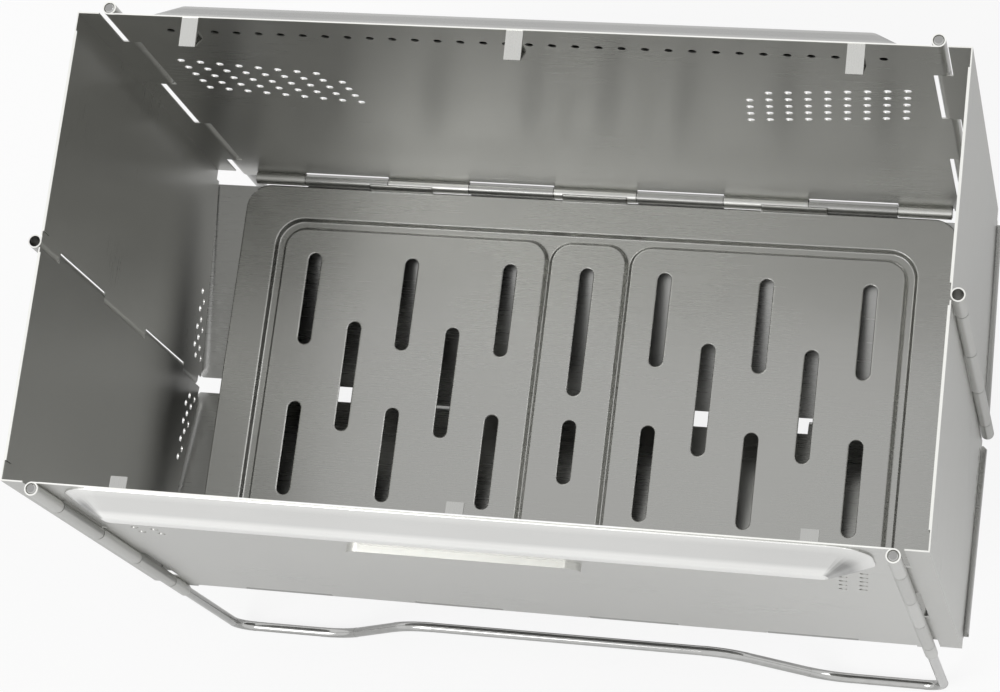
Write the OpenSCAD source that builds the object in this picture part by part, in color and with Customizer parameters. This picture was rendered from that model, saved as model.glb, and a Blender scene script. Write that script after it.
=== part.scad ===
// Flatpack charcoal grill: two flat walls on bent-wire legs, folding side panels,
// a hinged V-shaped floor and a lift-out charcoal plate. Millimetres, +Z up.
// The origin is on the ground under the middle of the grill. +X is the long way.

/* [Body] */
// distance between the left and right corner hinge axes
body_w = 304; // [260:1:360]
// clear depth between the front and rear walls
body_d = 177; // [150:1:220]
// height of the wall tops above the ground
top_z = 263; // [240:1:300]
// height of the charcoal plate above the ground
deck_z = 82; // [74:1:100]
// how far the side panels stand outside the corner hinge axes
gusset_out = 11.4; // [9:0.1:14]

/* [Sheet and wire] */
// thickness of the steel sheet
sheet = 0.5; // [0.4:0.05:0.8]
// diameter of the leg wire and the hinge pins
wire = 4; // [3.6:0.1:4.4]
// running clearance around a hinge pin
slip = 0.04; // [0.03:0.01:0.08]
// gap between neighbouring knuckles of a hinge
seam = 0.5; // [0.3:0.1:0.8]
// clearance between a knuckle and the sheet edge beside it
relief = 1; // [0.8:0.1:1.6]

/* [Hinges] */
// length of the top knuckle of a corner hinge
corner_top = 28.4; // [24:0.1:32]
// length of the three long knuckles of a corner hinge
corner_step = 45.2; // [36:0.1:46]
// length of the top knuckle of a side panel's middle hinge
middle_top = 20.6; // [16:0.1:26]
// length of the three long knuckles of a side panel's middle hinge
middle_step = 50.6; // [40:0.1:51]
// how far a side pin sits below the top of its knuckle
pin_recess = 12; // [4:0.5:14]

/* [Floor] */
// slope of each half of the floor
floor_slope = 12.8; // [10:0.1:16]
// height of the floor hinge axis over the charcoal plate
floor_hinge_z = 0.7; // [0.4:0.1:1]
// width of the slit left between the two floor halves
floor_slit = 6.5; // [6:0.1:9]
// diameter of the pins in the middle of the floor
middle_pin = 3.4; // [3.2:0.1:3.6]
// height of the lip at each end of the floor
lip_h = 5; // [3:0.5:7]
// clearance that lets the floor rise under the side panels
floor_rise = 4.5; // [4.4:0.1:6]

/* [Charcoal plate] */
// length of the charcoal plate
plate_w = 298; // [250:1:300]
// depth of the groove pressed into the plate
groove_d = 2; // [1:0.1:2.4]
// width of the groove at its top
groove_w = 5; // [4:0.1:7]
// width of the air slots
slot_w = 5.6; // [3:0.1:6]
// width of a hanging tab
tab_w = 27; // [20:1:32]
// play between a hanging tab and its hinge barrel
tab_play = 0.1; // [0.08:0.01:0.15]

/* [Walls] */
// diameter of the air holes
hole_d = 3; // [2:0.1:3.2]
// columns of air holes in a group
hole_cols = 9; // [6:1:9]
// rows of air holes in a group
hole_rows = 5; // [3:1:5]
// number of holes in the row behind a rail
row_holes = 32; // [20:2:32]
// length of the pressed bead on the front wall
bead_len = 88; // [50:1:90]

/* [Rails and clips] */
// length of a rail
rail_w = 288; // [250:1:292]
// height of a rail
rail_h = 38; // [34:1:42]
// how far a rail stands out from its wall
rail_out = 8.6; // [6:0.1:12]
// sheet thickness of a rail
rail_t = 0.8; // [0.6:0.1:1.2]
// width of a grate clip
clip_w = 6.2; // [5:0.1:8]
// distance of the outer grate clips from the middle one
clip_x = 122; // [100:1:125]
// how far a rear clip reaches in over the box
clip_reach = 10.9; // [9:0.1:12]
// distance from the rear wall to a clip's upright leg
clip_gap = 4.4; // [3.5:0.1:5]
// height of a rear clip
clip_drop = 8.6; // [7:0.1:9]

/* [Legs] */
// distance from the middle to the inner end of a foot
foot_in = 104; // [95:1:115]
// rise of the wire between the two feet
leg_rise = 37; // [30:1:40]
// bend radius at the outer end of a foot
foot_bend = 8; // [6:0.5:12]

/* [Hidden] */
eps = 0.01;
steel = [0.74, 0.74, 0.72];
bright = [0.82, 0.82, 0.81];
grey = [0.6, 0.6, 0.58];

// radii of a rolled knuckle
bore = wire / 2 + slip;
ring = bore + sheet;
// half sizes of the box, and the hinge axes
hx = body_w / 2;
wy = body_d / 2;
wall_out = wy + sheet;
hy = wall_out + bore;
sx = hx + gusset_out;
side_out = sx + sheet;
mx = side_out + bore;
fy = wall_out - ring;
fz = floor_hinge_z;
high = top_z - deck_z;
// knuckle limits up a corner hinge and up a middle hinge, from the top
low_corner = -2.5;
low_middle = -12;
cz = [high, high - corner_top, high - corner_top - corner_step,
      high - corner_top - 2 * corner_step, high - corner_top - 3 * corner_step, low_corner];
mz = [high, high - middle_top, high - middle_top - middle_step,
      high - middle_top - 2 * middle_step, high - middle_top - 3 * middle_step, low_middle];
// spans along a floor hinge: five belong to the wall, four to the floor
fx = hx - 6;
fk = [for (f = [-1, -0.851, -0.604, -0.366, -0.119, 0.119, 0.366, 0.604, 0.851, 1]) f * fx];
// hinge groups under the middle of the floor, start points and length
group_x = [-hx, -0.526 * hx, -0.033 * hx, 0.615 * hx];
group_len = 0.263 * hx;
third = group_len / 3;
// middle floor hinge, in a floor half's own slope
mid_v = -(ring + bore);
mid_u = (fy - mid_v * sin(floor_slope)) / cos(floor_slope);
mid_z = fz + mid_v * cos(floor_slope) - mid_u * sin(floor_slope);
floor_x = side_out + 1.8;
lip_in = floor_x - sheet;
// height of the floor's top face at depth y, and of a side panel's bottom edge
function floor_top(y) = fz - bore / cos(floor_slope) - (fy - y) * tan(floor_slope);
function panel_low(y) = floor_top(y) + 0.6 + floor_rise * (fy - y) / fy;
plate_y = fy - ring - 0.15;
// how much a bend swells the wire all round
swell = 0.05;
tab_in = ring + tab_play;
foot_z = -deck_z + wire / 2 + swell;
// bend radius where a leg wire rises between its feet
leg_r = 25;
// how far a straight run of wire reaches into a bend
run_in = 0.3;
// bend radius round the crest of a rail
rail_r = 2;
// the middle clips stand this far right of the middle
clip_shift = 1.8;
// how far the groove's walls lean in on their way down
lean = 1.2;

// raises what is drawn from the charcoal plate's level to its height over the ground
module lift() {
  translate([0, 0, deck_z])
    children();
}

// a hollow knuckle along Z from z0 to z1
module knuckle(z0, z1, r_in = bore, r_out = ring) {
  translate([0, 0, z0 + seam / 2])
    difference() {
      cylinder(r = r_out, h = z1 - z0 - seam, $fn = 40);
      translate([0, 0, -1])
        cylinder(r = r_in, h = z1 - z0 + 2, $fn = 40);
    }
}

// the same knuckle along X
module knuckle_x(x0, x1, r_in = bore, r_out = ring) {
  rotate([0, 90, 0])
    knuckle(x0, x1, r_in, r_out);
}

// a flat slot outline of overall length l and width w, along X
module slot_2d(l, w) {
  square([l - w, w], center = true);
  for (s = [-1, 1])
    translate([s * (l - w) / 2, 0])
      circle(d = w, $fn = 32);
}

// rounded rectangle outline
module round_2d(w, h, r) {
  square([w - 2 * r, h], center = true);
  square([w, h - 2 * r], center = true);
  for (sx1 = [-1, 1], sy1 = [-1, 1])
    translate([sx1 * (w / 2 - r), sy1 * (h / 2 - r)])
      circle(r = r, $fn = 32);
}

// a plate standing in the XZ plane between depths y0 and y0 + t
module upright(y0, t) {
  translate([0, y0 + t, 0])
    rotate([90, 0, 0])
      linear_extrude(t)
        children();
}

// air holes of a wall: two slanted groups, one hole left out of the wide ones, and a row
module wall_holes_2d(cols) {
  for (s = [-1, 1], c = [0 : cols - 1], r = [0 : hole_rows - 1])
    if (c < cols - 1 || r > 0 || cols == 2)
      translate([s * (hx - 13.9 - 7.37 * c - 0.7 * r), high - 46.1 - 1.17 * c - 7.25 * r])
        circle(d = hole_d, $fn = 24);
  for (i = [0 : row_holes - 1])
    translate([(i - (row_holes - 1) / 2) * (2 * hx - 39.8) / 31, high - 14.3])
      circle(d = hole_d, $fn = 24);
}

// flat outline of a wall, with notches for the knuckles of its neighbours
module wall_2d(bead) {
  notch_x = hx - ring - relief;
  difference() {
    union() {
      translate([-hx, fz])
        square([2 * hx, high - fz]);
      for (s = [-1, 1])
        translate([s * (hx + fx + seam) / 2, low_corner / 2 + 2])
          square([hx - fx - seam, -low_corner + 4 - seam], center = true);
    }
    for (s = [-1, 1], k = [1, 3])
      translate([s * (notch_x + hx) / 2 + s * eps, (cz[k] + cz[k + 1]) / 2])
        square([hx - notch_x + 2 * eps, cz[k] - cz[k + 1]], center = true);
    for (s = [-1, 1])
      translate([s * hx, high])
        square([2 * ring, seam], center = true);
    for (k = [1, 3, 5, 7])
      translate([fk[k], fz - 1])
        square([fk[k + 1] - fk[k], ring + 1.8]);
    wall_holes_2d(bead ? 2 : hole_cols);
    if (bead)
      translate([-10.5, high - 72])
        slot_2d(bead_len - 2 * sheet, 10 - 2 * sheet);
  }
}

// rear wall; the front wall is its mirror image and carries the bead
module wall(bead) {
  upright(wy, sheet)
    wall_2d(bead);
  for (s = [-1, 1], k = [0, 2, 4])
    translate([s * hx, hy, 0])
      knuckle(cz[k + 1], cz[k]);
  for (k = [0, 2, 4, 6, 8])
    translate([0, fy, fz])
      knuckle_x(fk[k], fk[k + 1]);
  if (bead)
    difference() {
      upright(wy, sheet + 2.5)
        translate([-10.5, high - 72])
          slot_2d(bead_len, 10);
      upright(wy - 1, 1 + 2.5)
        translate([-10.5, high - 72])
          slot_2d(bead_len - 2 * sheet, 10 - 2 * sheet);
    }
}

module front_wall() {
  color(steel)
    lift()
    mirror([0, 1, 0])
      wall(true);
}

module rear_wall() {
  color(steel)
    lift()
    wall(false);
}

// one cover of a rail: a rounded foot on the wall that draws in to a rounded crest
module rail_form(inset, depth) {
  crest_w = rail_w - 27 - 2 * inset;
  crest_h = 0.24 * rail_h - 1.6 * inset;
  hull() {
    upright(wall_out, 0.6)
      translate([0, high - 1 - rail_h / 2])
        round_2d(rail_w - 2 * inset, rail_h - 2 * inset, 14 - inset);
    for (a = [0, 30, 60, 90]) {
      draw_in = rail_r * (1 - sin(a));
      upright(wall_out + depth - rail_r * (1 - cos(a)) - 0.2, 0.2)
        translate([0, high - 15.5])
          round_2d(crest_w - 2 * draw_in, crest_h - 2 * draw_in, 3.4 - inset - 0.8 * draw_in);
    }
  }
}

module rail() {
  difference() {
    rail_form(0, rail_out);
    translate([0, -eps, 0])
      rail_form(rail_t, rail_out - rail_t);
  }
}

module front_rail() {
  color(steel)
    lift()
    mirror([0, 1, 0])
      rail();
}

module rear_rail() {
  color(steel)
    lift()
    rail();
}

// places the three clips along a wall
module clip_row() {
  for (s = [-1, 0, 1])
    translate([clip_shift + s * clip_x, 0, 0])
      rotate([90, 0, 90])
        linear_extrude(clip_w, center = true)
          children();
}

// rear clip: a tongue bent inward from the wall's top, with a hollow catch under its end
module hook_2d() {
  leg_y = wy - clip_gap;
  tip_y = wy - clip_reach;
  difference() {
    polygon([[wy, high - 0.4], [wy, high - 1.1], [leg_y, high - 1.4], [leg_y, high - clip_drop],
             [leg_y - 0.8, high - clip_drop - 0.3], [tip_y, high - 2], [tip_y, high - 1.2],
             [leg_y, high - 0.7]]);
    polygon([[leg_y - 0.7, high - 2.1], [leg_y - 0.7, high - clip_drop + 0.6],
             [tip_y + 1.1, high - 2.1]]);
  }
}

// front clip: a short plain tongue
module tongue_2d() {
  polygon([[wy, high - 0.4], [wy, high - 1.1], [wy - clip_gap, high - 1.4],
           [wy - clip_gap, high - 0.7]]);
}

module front_grate_clips() {
  color(bright)
    lift()
    mirror([0, 1, 0])
      clip_row()
        tongue_2d();
}

module rear_grate_clips() {
  color(bright)
    lift()
    clip_row()
      hook_2d();
}

// side sheet of a half-panel, drawn with Y to the right and Z up
module side_2d(own) {
  other = own[0] == 0 ? [1, 3] : [0, 2, 4];
  notch_y = 2.2;
  difference() {
    polygon([[0, high], [wall_out, high], [wall_out, 2], [fy - 2, 2], [fy - 2, panel_low(fy - 2)],
             [notch_y, panel_low(notch_y)], [0, panel_low(notch_y)]]);
    for (k = other)
      translate([-1, mz[k + 1]])
        square([notch_y + 1, mz[k] - mz[k + 1]]);
    translate([-1, low_middle - 20])
      square([notch_y + 1, 20 + seam / 2]);
    translate([-1, high - seam / 2])
      square([notch_y + 1, 1]);
    for (k = [0 : 3])
      translate([12.8 + 7.68 * k, -1.4])
        circle(d = hole_d - 0.4, $fn = 24);
    for (k = [0 : 3])
      translate([8.9 + 7.68 * k, -4.6])
        circle(d = hole_d - 0.4, $fn = 24);
    for (k = [0 : 1])
      translate([12.8 + 7.68 * k, -8])
        circle(d = hole_d - 0.4, $fn = 24);
    translate([8.9, -11.1])
      circle(d = hole_d - 0.4, $fn = 24);
  }
}

// flange of a half-panel, in the plane of the wall
module flange_2d() {
  edge_x = hx + ring + relief;
  difference() {
    translate([hx, 2])
      square([side_out - hx, high - 2]);
    for (k = [0, 2, 4])
      translate([hx - 1, cz[k + 1]])
        square([edge_x - hx + 1, cz[k] - cz[k + 1] + (k == 0 ? 1 : 0)]);
  }
}

// right rear half-panel; own lists its knuckles of the middle hinge
module half_panel(own) {
  translate([sx, 0, 0])
    rotate([90, 0, 90])
      linear_extrude(sheet)
        side_2d(own);
  upright(wy, sheet)
    flange_2d();
  translate([sx - sheet, 4, high - 6])
    cube([sheet, wy - 11, 6]);
  for (k = [1, 3])
    translate([hx, hy, 0])
      knuckle(cz[k + 1], cz[k]);
  for (k = own)
    translate([mx, 0, 0])
      knuckle(mz[k + 1], mz[k]);
}

module right_rear_panel() {
  color(steel)
    lift()
    half_panel([0, 2, 4]);
}

module right_front_panel() {
  color(steel)
    lift()
    mirror([0, 1, 0])
      half_panel([1, 3]);
}

module left_rear_panel() {
  color(steel)
    lift()
    mirror([1, 0, 0])
      half_panel([0, 2, 4]);
}

module left_front_panel() {
  color(steel)
    lift()
    mirror([1, 0, 0])
      mirror([0, 1, 0])
        half_panel([1, 3]);
}

// outline of a floor half in its own slope: 0 at the hinge, negative toward the middle
module floor_2d(own) {
  edge = -(ring + relief);
  // where the sheet stops short of the middle
  stop = -(fy + bore * sin(floor_slope) - floor_slit / 2) / cos(floor_slope);
  difference() {
    union() {
      polygon([[-floor_x, edge], [-floor_x, stop + 1.5], [-floor_x + 1.5, stop],
               [floor_x - 1.5, stop], [floor_x, stop + 1.5], [floor_x, edge]]);
      for (k = [1, 3, 5, 7])
        translate([fk[k] + seam / 2, edge - 1])
          square([fk[k + 1] - fk[k] - seam, 1 - edge]);
      for (g = group_x, k = own)
        translate([g + k * third + seam / 2, -mid_u])
          square([third - seam, 6]);
    }
  }
}

// rear floor half; own lists its thirds of each middle hinge group
module floor_half(own, r_in) {
  // depth along the slope where the lip starts and ends
  lip_a = -(ring + relief) - 0.5;
  lip_b = -(fy - 4) / cos(floor_slope);
  translate([0, fy, fz])
    rotate([floor_slope, 0, 0]) {
      difference() {
        union() {
          translate([0, 0, -ring])
            linear_extrude(sheet)
              floor_2d(own);
          for (s = [-1, 1])
            translate([s * (floor_x - sheet / 2), 0, 0])
              rotate([90, 0, 90])
                linear_extrude(sheet, center = true)
                  polygon([[lip_a, -ring], [lip_a, -bore + lip_h], [lip_b + 3, -bore + lip_h],
                           [lip_b, -ring]]);
          for (g = group_x, k = own)
            translate([0, -mid_u, mid_v])
              knuckle_x(g + k * third, g + (k + 1) * third, r_in);
        }
        for (g = group_x, k = own)
          translate([g + k * third - 1, -mid_u, mid_v])
            rotate([0, 90, 0])
              cylinder(r = r_in, h = third + 2, $fn = 40);
      }
      for (k = [1, 3, 5, 7])
        knuckle_x(fk[k], fk[k + 1]);
    }
}

module rear_floor() {
  color(grey)
    lift()
    floor_half([1], bore);
}

module front_floor() {
  color(grey)
    lift()
    mirror([0, 1, 0])
      floor_half([0, 2], middle_pin / 2 + slip);
}

// a bend of wire in the XZ plane, round the local origin; bending swells it a hair
module wire_bend(r, from, turn) {
  rotate([90, 0, 0])
    rotate([0, 0, from])
      rotate_extrude(angle = turn, $fn = 64)
        translate([r, 0])
          circle(d = wire + 2 * swell, $fn = 40);
}

// a straight run of wire of length l toward -X, its ends held in the bends
module wire_run(l) {
  rotate([0, -90, 0])
    translate([0, 0, -run_in])
      cylinder(d = wire, h = l + 2 * run_in, $fn = 40);
}

// half of a leg wire, from the top of the corner hinge down, in along the foot
// and up at 45 degrees to the level run
module leg_half(turn_x, slant) {
  translate([hx, 0, foot_z + foot_bend - run_in])
    cylinder(d = wire, h = high - 1 - foot_z - foot_bend + run_in, $fn = 40);
  translate([hx, 0, high - 1.2])
    rotate_extrude($fn = 40)
      polygon([[0, 0], [wire / 2, 0], [wire / 2, 0.6], [wire / 2 - 0.6, 1.2], [0, 1.2]]);
  translate([hx - foot_bend, 0, foot_z]) {
    translate([0, 0, foot_bend])
      wire_bend(foot_bend, -90, 90);
    wire_run(hx - foot_bend - turn_x);
  }
  translate([turn_x, 0, foot_z + leg_r]) {
    wire_bend(leg_r, -135, 45);
    rotate([0, 45, 0])
      translate([0, 0, -leg_r]) {
        wire_run(slant);
        translate([-slant, 0, -leg_r])
          wire_bend(leg_r, 90, 45);
      }
  }
}

module leg() {
  slant = (leg_rise - 2 * leg_r * (1 - cos(45))) / sin(45);
  turn_x = foot_in + leg_r * tan(22.5);
  across = turn_x - 2 * leg_r * sin(45) - slant * cos(45);
  translate([0, hy, 0]) {
    for (m = [0, 1])
      mirror([m, 0, 0])
        leg_half(turn_x, slant);
    translate([across, 0, foot_z + leg_rise])
      wire_run(2 * across);
  }
}

module front_leg() {
  color(bright)
    lift()
    mirror([0, 1, 0])
      leg();
}

module rear_leg() {
  color(bright)
    lift()
    leg();
}

module side_pin() {
  translate([mx, 0, low_middle + seam])
    cylinder(d = wire, h = high - pin_recess - low_middle - seam, $fn = 40);
}

module right_side_pin() {
  color(bright)
    lift()
    side_pin();
}

module left_side_pin() {
  color(bright)
    lift()
    mirror([1, 0, 0])
      side_pin();
}

module floor_pin() {
  translate([-fx, fy, fz])
    rotate([0, 90, 0])
      cylinder(d = wire, h = 2 * fx, $fn = 40);
}

module rear_floor_pin() {
  color(bright)
    lift()
    floor_pin();
}

module front_floor_pin() {
  color(bright)
    lift()
    mirror([0, 1, 0])
      floor_pin();
}

module middle_floor_pins() {
  color(bright)
    lift()
    for (g = group_x)
      translate([g + seam, 0, mid_z])
        rotate([0, 90, 0])
          cylinder(d = middle_pin, h = group_len - 2 * seam, $fn = 40);
}

// groove of the charcoal plate: a frame and two cross channels around three pads
module groove_2d(inset) {
  full_w = plate_w - 29.3;
  mid_w = 30.4;
  pad_w = full_w / 2 - groove_w - mid_w / 2 - 3;
  pad_h = 140 - 2 * groove_w;
  difference() {
    round_2d(full_w - 2 * inset, 140 - 2 * inset, 12 - inset);
    for (s = [-1, 1])
      translate([s * (full_w / 2 - groove_w - pad_w / 2), 0])
        round_2d(pad_w + 2 * inset, pad_h + 2 * inset, 8 + inset);
    round_2d(mid_w + 2 * inset, pad_h + 2 * inset, 8 + inset);
  }
}

// a slot through the plate from depth y0 to y1
module air_slot(x, y0, y1) {
  translate([x, (y0 + y1) / 2])
    rotate(90)
      slot_2d(y1 - y0, slot_w);
}

module plate_2d() {
  difference() {
    round_2d(plate_w, 2 * plate_y, 10);
    for (s = [-1, 1], x = [32.3, 74.2, 116]) {
      air_slot(s * x, 15.5, 54.9);
      air_slot(s * x, -48.6, -9.3);
    }
    for (s = [-1, 1], x = [53.2, 95.1])
      air_slot(s * x, -20.2, 26.3);
    air_slot(0, 1.1, 55);
    air_slot(0, -35.7, -9.3);
  }
}

// tab that rides on a floor hinge barrel
module tab() {
  r1 = tab_in;
  r2 = tab_in + sheet;
  rotate([90, 0, 90])
    linear_extrude(tab_w, center = true) {
      translate([plate_y - 4, -sheet])
        square([fy - r1 - plate_y + 4, sheet]);
      translate([fy - r2, -sheet])
        square([sheet, fz + sheet]);
      translate([fy, fz])
        intersection() {
          difference() {
            circle(r = r2, $fn = 48);
            circle(r = r1, $fn = 48);
          }
          polygon([[0, 0], [-5, 0], [-5, 5], [-5 / tan(65), 5]]);
        }
    }
}

module charcoal_plate() {
  color(grey) lift() {
    difference() {
      union() {
        translate([0, 0, -sheet])
          linear_extrude(sheet)
            plate_2d();
        for (i = [1 : 4])
          translate([0, 0, -sheet - groove_d * i / 4])
            linear_extrude(sheet + groove_d * i / 4 - eps)
              groove_2d(lean * (i - 0.5) / 4 - sheet);
      }
      for (i = [1 : 4])
        translate([0, 0, -groove_d * i / 4])
          linear_extrude(groove_d * i / 4 + 1)
            groove_2d(lean * (i - 0.5) / 4);
    }
    for (m = [0, 1], s = [-1, 0, 1])
      mirror([0, m, 0])
        translate([s * 82.5, 0, 0])
          tab();
  }
}

front_wall();
rear_wall();
front_rail();
rear_rail();
left_front_panel();
left_rear_panel();
right_front_panel();
right_rear_panel();
front_floor();
rear_floor();
front_leg();
rear_leg();
left_side_pin();
right_side_pin();
front_floor_pin();
rear_floor_pin();
middle_floor_pins();
charcoal_plate();
front_grate_clips();
rear_grate_clips();
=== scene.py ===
"""Looks of the flatpack grill: brushed sheet steel, polished leg wire, a pale studio."""

import bpy
from mathutils import Matrix, Vector

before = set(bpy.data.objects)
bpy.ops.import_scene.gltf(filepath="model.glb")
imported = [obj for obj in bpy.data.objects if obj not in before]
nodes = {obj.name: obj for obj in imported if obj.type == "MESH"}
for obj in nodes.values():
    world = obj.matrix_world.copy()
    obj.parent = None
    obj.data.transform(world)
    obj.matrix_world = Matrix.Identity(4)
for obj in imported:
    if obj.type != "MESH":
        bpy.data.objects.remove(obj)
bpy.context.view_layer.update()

# brushed lines: the axis they run along, how fine they are across it and along it, and
# how deep they look
X_AXIS, Y_AXIS = 0, 1
LINES_ACROSS, LINES_ALONG = 2400.0, 40.0
LINE_HEIGHT, LINE_STRENGTH = 0.00002, 0.05

# scale and roughness of each kind of noise, and what they share
LINE_NOISE = (1.0, 0.6)
CLOUD_NOISE = (11.0, 0.55)
WIRE_NOISE = (260.0, 0.6)
NOISE_DETAIL = 3.0
NOISE_RANGE = (0.3, 0.7)

# how far lines, clouds and drawing marks change the roughness, and the marks the tone
LINE_ROUGH = (-0.02, 0.02)
CLOUD_ROUGH = (-0.03, 0.04)
WIRE_ROUGH = (-0.03, 0.04)
WIRE_TONE = (0.93, 1.04)
BEVEL_SAMPLES = 16

# A tone fades in between two places, in metres on the grill, or between two directions,
# where 1 faces straight along the axis. All but the wire's end place painted highlights and
# painted shade.
TOP_EDGE_HIGHLIGHT_Z = (0.2622, 0.2628)
BEAD_X = (0.060, 0.062)
BEAD_Z = (0.150, 0.155)
BEAD_HIGHLIGHT_UP = (0.2, 0.6)
UPPER_BEND_Y = (0.0902, 0.0915)
LOWER_BEND_Y = (0.0950, 0.0962)
RAIL_END_X = (0.20, 0.40)
RAIL_END_Y = (0.0915, 0.0935)
INSIDE_SHADE_X = (0.90, 0.98)
GROOVE_FLOOR_Z = (0.08005, 0.08015)
GROOVE_TOP_Z = (0.08185, 0.08195)
GROOVE_X = (-0.125, -0.115)
WIRE_END_Z = (0.970, 0.999)

# how dark the painted shade on a rail's ends is, and the tone of the wire's cut ends
RAIL_END_SHADE = 0.4
WIRE_END_TONE = 0.7

WHITE = (1, 1, 1, 1)
GROUND_SIZE, GROUND_DROP = 12, 0.0005
GROUND_TONE = 0.9
GROUND_GLOW = 0.85
WORLD_LIGHT, WORLD_SEEN = 0.55, 1.0
LAMP_TARGET = (0, 0, 0.15)

# camera solved from the photograph, in its pixels and in the grill's metres
PHOTO_WIDTH = 1000
PHOTO_CENTRE = (500, 346)
LENS_PIXELS = 3062.09
LENS_CENTRE = (481.82, 326.33)
SENSOR = 36
CAMERA_CLIP = (0.05, 30)
CAMERA_PLACE = (0.2499, -0.2930, 1.2611)
CAMERA_AXES = (
    (0.970881, 0.120904, -0.206814),
    (-0.060686, 0.959268, 0.275903),
    (0.231748, -0.255318, 0.938672),
)


def emptied(owner):
    """The node tree of a material or world, with its nodes taken out."""
    owner.use_nodes = True
    owner.node_tree.nodes.clear()
    return owner.node_tree


def maths(tree, operation, *values):
    """The result of a maths operation on one or two values."""
    node = tree.nodes.new("ShaderNodeMath")
    node.operation = operation
    for socket, value in zip(node.inputs, values):
        tree.links.new(value, socket)
    return node.outputs[0]


def product(tree, *values):
    """The product of all the values."""
    result = values[0]
    for value in values[1:]:
        result = maths(tree, "MULTIPLY", result, value)
    return result


def spread(tree, value, low, high, start, end):
    """value, held between start and end, turned into low to high."""
    ramp = tree.nodes.new("ShaderNodeMapRange")
    ramp.inputs["From Min"].default_value = start
    ramp.inputs["From Max"].default_value = end
    ramp.inputs["To Min"].default_value = low
    ramp.inputs["To Max"].default_value = high
    tree.links.new(value, ramp.inputs["Value"])
    return ramp.outputs["Result"]


def varied(tree, texture, middle, low, high):
    """The usual range of a noise texture turned into middle + low to middle + high."""
    return spread(tree, texture, middle + low, middle + high, *NOISE_RANGE)


def above(tree, value, fade):
    """0 below the fade, 1 above it."""
    return spread(tree, value, 0, 1, *fade)


def below(tree, value, fade):
    """1 below the fade, 0 above it."""
    return spread(tree, value, 1, 0, *fade)


def toned(tree, mask, factor):
    """1 where the mask is 0, factor where it is 1."""
    return spread(tree, mask, 1, factor, 0, 1)


def noise(tree, kind, stretch=(1, 1, 1)):
    """One kind of noise over the object's own coordinates, finer where stretch is larger."""
    scale, rough = kind
    coord = tree.nodes.new("ShaderNodeTexCoord")
    mapping = tree.nodes.new("ShaderNodeMapping")
    mapping.inputs["Scale"].default_value = stretch
    texture = tree.nodes.new("ShaderNodeTexNoise")
    texture.inputs["Scale"].default_value = scale
    texture.inputs["Detail"].default_value = NOISE_DETAIL
    texture.inputs["Roughness"].default_value = rough
    tree.links.new(coord.outputs["Object"], mapping.inputs["Vector"])
    tree.links.new(mapping.outputs["Vector"], texture.inputs["Vector"])
    return texture.outputs["Fac"]


def part_of(tree, vector, axis):
    """One axis of a vector."""
    split = tree.nodes.new("ShaderNodeSeparateXYZ")
    tree.links.new(vector, split.inputs[0])
    return split.outputs[axis]


def place(tree, axis):
    """Where the point lies along one of the grill's axes, in metres."""
    return part_of(tree, tree.nodes.new("ShaderNodeTexCoord").outputs["Object"], axis)


def facing(tree, axis):
    """How far the surface faces along a world axis, with its sign."""
    return part_of(tree, tree.nodes.new("ShaderNodeNewGeometry").outputs["Normal"], axis)


def distance(tree, axis):
    """How far the point lies from the grill's middle along an axis, in metres."""
    return maths(tree, "ABSOLUTE", place(tree, axis))


def painted_edge_highlight(tree, factor):
    """Painted highlight along the top edge of the box."""
    return spread(tree, place(tree, "Z"), 1, factor, *TOP_EDGE_HIGHLIGHT_Z)


def painted_bead_highlight(tree, factor):
    """Painted highlight on the upper side of the pressed bead in the front wall."""
    mask = product(tree, below(tree, distance(tree, "X"), BEAD_X),
                   above(tree, place(tree, "Z"), BEAD_Z),
                   above(tree, facing(tree, "Z"), BEAD_HIGHLIGHT_UP))
    return toned(tree, mask, factor)


def painted_rail_light_and_shade(tree, factors):
    """Painted highlights on the upper and the lower bend of a rail, and painted shade on its
    ends.
    """
    upper, lower = factors
    depth = distance(tree, "Y")
    sideways = maths(tree, "ABSOLUTE", facing(tree, "X"))
    ends = product(tree, above(tree, sideways, RAIL_END_X), above(tree, depth, RAIL_END_Y))
    return product(tree, spread(tree, depth, upper, 1, *UPPER_BEND_Y),
                   spread(tree, depth, 1, lower, *LOWER_BEND_Y),
                   toned(tree, ends, RAIL_END_SHADE))


def painted_inside_shade(tree, factor):
    """Painted shade on the inner face of a left half-panel."""
    return spread(tree, facing(tree, "X"), 1, factor, *INSIDE_SHADE_X)


def painted_groove_light(tree, factor):
    """Painted light on the walls of the charcoal plate's groove, lifting their shade, but
    for its left end.
    """
    height = place(tree, "Z")
    mask = product(tree, above(tree, height, GROOVE_FLOOR_Z),
                   below(tree, height, GROOVE_TOP_Z),
                   above(tree, place(tree, "X"), GROOVE_X))
    return toned(tree, mask, factor)


def metal(name, colour):
    """A metal material, its node tree, its shader and the socket that scales its colour."""
    mat = bpy.data.materials.new(name)
    tree = emptied(mat)
    out = tree.nodes.new("ShaderNodeOutputMaterial")
    shader = tree.nodes.new("ShaderNodeBsdfPrincipled")
    shader.inputs["Metallic"].default_value = 1.0
    tint = tree.nodes.new("ShaderNodeMix")
    tint.data_type = "RGBA"
    tint.blend_type = "MULTIPLY"
    tint.inputs["Factor"].default_value = 1.0
    tint.inputs["A"].default_value = (*colour, 1)
    tree.links.new(tint.outputs["Result"], shader.inputs["Base Color"])
    tree.links.new(shader.outputs["BSDF"], out.inputs["Surface"])
    return mat, tree, shader, tint.inputs["B"]


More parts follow.
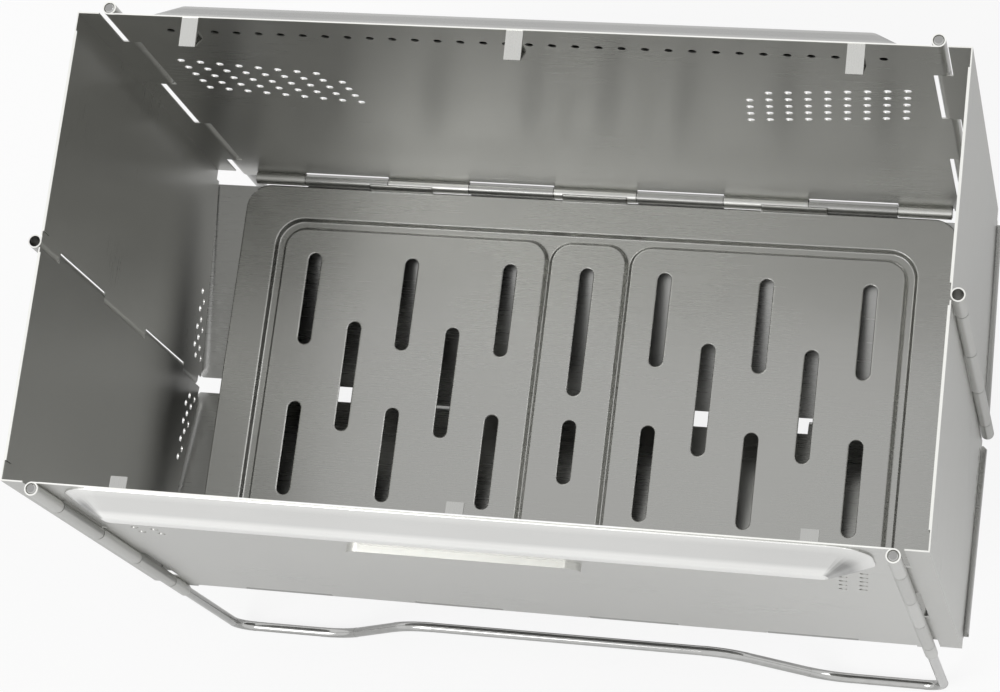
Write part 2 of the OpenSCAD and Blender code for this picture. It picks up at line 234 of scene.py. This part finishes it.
def brushed(name, colour, rough, along, grain=0.015, cloud=0.03, round_off=0.0, **tones):
    """Brushed sheet: fine lines along one axis, cloudy rolling marks, uneven gloss.

    round_off is the radius over which pressed edges look rounded. Each of the tones is a key
    of
    TONES, for a painted highlight or painted shade, and gives its factor."""
    mat, tree, shader, tint = metal(name, colour)
    stretch = [LINES_ACROSS] * 3
    stretch[along] = LINES_ALONG
    lines = noise(tree, LINE_NOISE, stretch)
    clouds = noise(tree, CLOUD_NOISE)
    painted_light_and_shade = [TONES[tone](tree, factor) for tone, factor in tones.items()]
    tree.links.new(product(tree, varied(tree, lines, 1, -grain, grain),
                           varied(tree, clouds, 1, -cloud, cloud), *painted_light_and_shade), tint)
    gloss = maths(tree, "ADD", varied(tree, lines, rough, *LINE_ROUGH),
                  varied(tree, clouds, 0, *CLOUD_ROUGH))
    tree.links.new(gloss, shader.inputs["Roughness"])
    if round_off:
        normal = tree.nodes.new("ShaderNodeBevel")
        normal.samples = BEVEL_SAMPLES
        normal.inputs["Radius"].default_value = round_off
    else:
        normal = tree.nodes.new("ShaderNodeBump")
        normal.inputs["Strength"].default_value = LINE_STRENGTH
        normal.inputs["Distance"].default_value = LINE_HEIGHT
        tree.links.new(lines, normal.inputs["Height"])
    tree.links.new(normal.outputs["Normal"], shader.inputs["Normal"])
    return mat


def polished(name, colour, rough):
    """Drawn wire: bright, with faint drawing marks and darker cut ends."""
    mat, tree, shader, tint = metal(name, colour)
    marks = noise(tree, WIRE_NOISE)
    end = spread(tree, facing(tree, "Z"), 1, WIRE_END_TONE, *WIRE_END_Z)
    tree.links.new(product(tree, varied(tree, marks, 0, *WIRE_TONE), end), tint)
    tree.links.new(varied(tree, marks, rough, *WIRE_ROUGH), shader.inputs["Roughness"])
    return mat


def softbox(name, spot, size, power):
    """A square lamp at a spot, turned to the grill."""
    lamp = bpy.data.lights.new(name, "AREA")
    lamp.shape = "SQUARE"
    lamp.size = size
    lamp.energy = power
    obj = bpy.data.objects.new(name, lamp)
    bpy.context.scene.collection.objects.link(obj)
    obj.location = spot
    aim = Vector(LAMP_TARGET) - Vector(spot)
    obj.rotation_euler = aim.to_track_quat("-Z", "Y").to_euler()


# the painted highlights and painted shade that a brushed sheet can take
TONES = {"edge": painted_edge_highlight, "bead": painted_bead_highlight, "rail": painted_rail_light_and_shade, "inside": painted_inside_shade,
         "groove": painted_groove_light}

# walls and panels, with a painted highlight on the top edge and on the front bead, and
# painted shade on the inner face of the left panels
wall_steel = brushed("wall_steel", (0.56, 0.56, 0.54), 0.30, X_AXIS, edge=1.7)
front_steel = brushed("front_steel", (0.57, 0.57, 0.55), 0.30, X_AXIS, edge=1.7, bead=1.2)
side_steel = brushed("side_steel", (0.50, 0.50, 0.48), 0.30, Y_AXIS, edge=1.75)
left_steel = brushed("left_steel", (0.50, 0.50, 0.48), 0.30, Y_AXIS, edge=1.75, inside=0.88)
shade_steel = brushed("shade_steel", (0.52, 0.52, 0.50), 0.30, Y_AXIS, edge=1.7, inside=0.64)
# rails: the front a lighter copy of the sheet steel, painted light, the rear a darker copy,
# painted shade; both with painted highlights on their bends and painted shade on their ends
lit_rail_steel = brushed("lit_rail_steel", (0.755, 0.755, 0.74), 0.22, X_AXIS, 0.01, 0.02,
                     round_off=0.0005, rail=(1.12, 1.28))
shaded_rail = brushed("shaded_rail", (0.42, 0.42, 0.41), 0.26, X_AXIS,
                    round_off=0.0005, rail=(1.3, 1.3))
# floor, charcoal plate and grate clips; the floor and the plate a darker copy of the sheet
# steel, painted shade at the bottom of the box, and painted light on the walls of the
# plate's groove
floor_steel = brushed("floor_steel", (0.36, 0.36, 0.35), 0.28, X_AXIS, 0.02, 0.05)
plate_steel = brushed("plate_steel", (0.38, 0.38, 0.365), 0.27, X_AXIS,
                      round_off=0.0010, groove=1.75)
clip_steel = brushed("clip_steel", (0.58, 0.58, 0.56), 0.28, Y_AXIS)
tongue_steel = brushed("tongue_steel", (0.48, 0.48, 0.465), 0.28, Y_AXIS)
# legs and hinge pins
wire_steel = polished("wire_steel", (0.50, 0.50, 0.49), 0.09)
pin_steel = polished("pin_steel", (0.34, 0.34, 0.33), 0.16)

looks = {
    "front_wall": front_steel,
    "rear_wall": wall_steel,
    "front_rail": lit_rail_steel,
    "rear_rail": shaded_rail,
    "left_front_panel": shade_steel,
    "left_rear_panel": left_steel,
    "right_front_panel": side_steel,
    "right_rear_panel": side_steel,
    "front_floor": floor_steel,
    "rear_floor": floor_steel,
    "charcoal_plate": plate_steel,
    "front_grate_clips": tongue_steel,
    "rear_grate_clips": clip_steel,
    "front_floor_pin": pin_steel,
    "rear_floor_pin": pin_steel,
    "middle_floor_pins": pin_steel,
}
for name, obj in nodes.items():
    obj.data.materials.clear()
    obj.data.materials.append(looks.get(name, wire_steel))

# a pale floor that the camera sees nearly white, under the object's shadow
bpy.ops.mesh.primitive_plane_add(size=GROUND_SIZE, location=(0, 0, -GROUND_DROP))
ground = bpy.context.object
ground.name = "ground"
ground_white = bpy.data.materials.new("ground_white")
tree = emptied(ground_white)
out = tree.nodes.new("ShaderNodeOutputMaterial")
path = tree.nodes.new("ShaderNodeLightPath")
diffuse = tree.nodes.new("ShaderNodeBsdfDiffuse")
diffuse.inputs["Color"].default_value = (GROUND_TONE, GROUND_TONE, GROUND_TONE, 1)
glow = tree.nodes.new("ShaderNodeEmission")
glow.inputs["Color"].default_value = WHITE
mix = tree.nodes.new("ShaderNodeMixShader")
glow_share = spread(tree, path.outputs["Is Camera Ray"], 0, GROUND_GLOW, 0, 1)
tree.links.new(glow_share, mix.inputs["Fac"])
tree.links.new(diffuse.outputs[0], mix.inputs[1])
tree.links.new(glow.outputs[0], mix.inputs[2])
tree.links.new(mix.outputs[0], out.inputs["Surface"])
ground.data.materials.append(ground_white)

# a plain world, white where the camera or a reflection sees it
world = bpy.data.worlds.new("studio")
bpy.context.scene.world = world
tree = emptied(world)
out = tree.nodes.new("ShaderNodeOutputWorld")
back = tree.nodes.new("ShaderNodeBackground")
path = tree.nodes.new("ShaderNodeLightPath")
seen = maths(tree, "MAXIMUM", path.outputs["Is Camera Ray"], path.outputs["Is Glossy Ray"])
back.inputs["Color"].default_value = WHITE
tree.links.new(spread(tree, seen, WORLD_LIGHT, WORLD_SEEN, 0, 1), back.inputs["Strength"])
tree.links.new(back.outputs[0], out.inputs["Surface"])

softbox("key", (-1.4, -1.6, 2.2), 1.6, 34)
softbox("fill", (1.8, 0.6, 1.9), 1.4, 14)

cam = bpy.data.cameras.new("camera")
cam.sensor_fit = "HORIZONTAL"
cam.sensor_width = SENSOR
cam.lens = LENS_PIXELS / PHOTO_WIDTH * SENSOR
cam.shift_x = (PHOTO_CENTRE[0] - LENS_CENTRE[0]) / PHOTO_WIDTH
cam.shift_y = (LENS_CENTRE[1] - PHOTO_CENTRE[1]) / PHOTO_WIDTH
cam.clip_start, cam.clip_end = CAMERA_CLIP
camera = bpy.data.objects.new("camera", cam)
bpy.context.scene.collection.objects.link(camera)
turn = Matrix(CAMERA_AXES).transposed().to_4x4()
camera.matrix_world = Matrix.Translation(Vector(CAMERA_PLACE)) @ turn
bpy.context.scene.camera = camera
bpy.context.scene.view_settings.view_transform = "Standard"
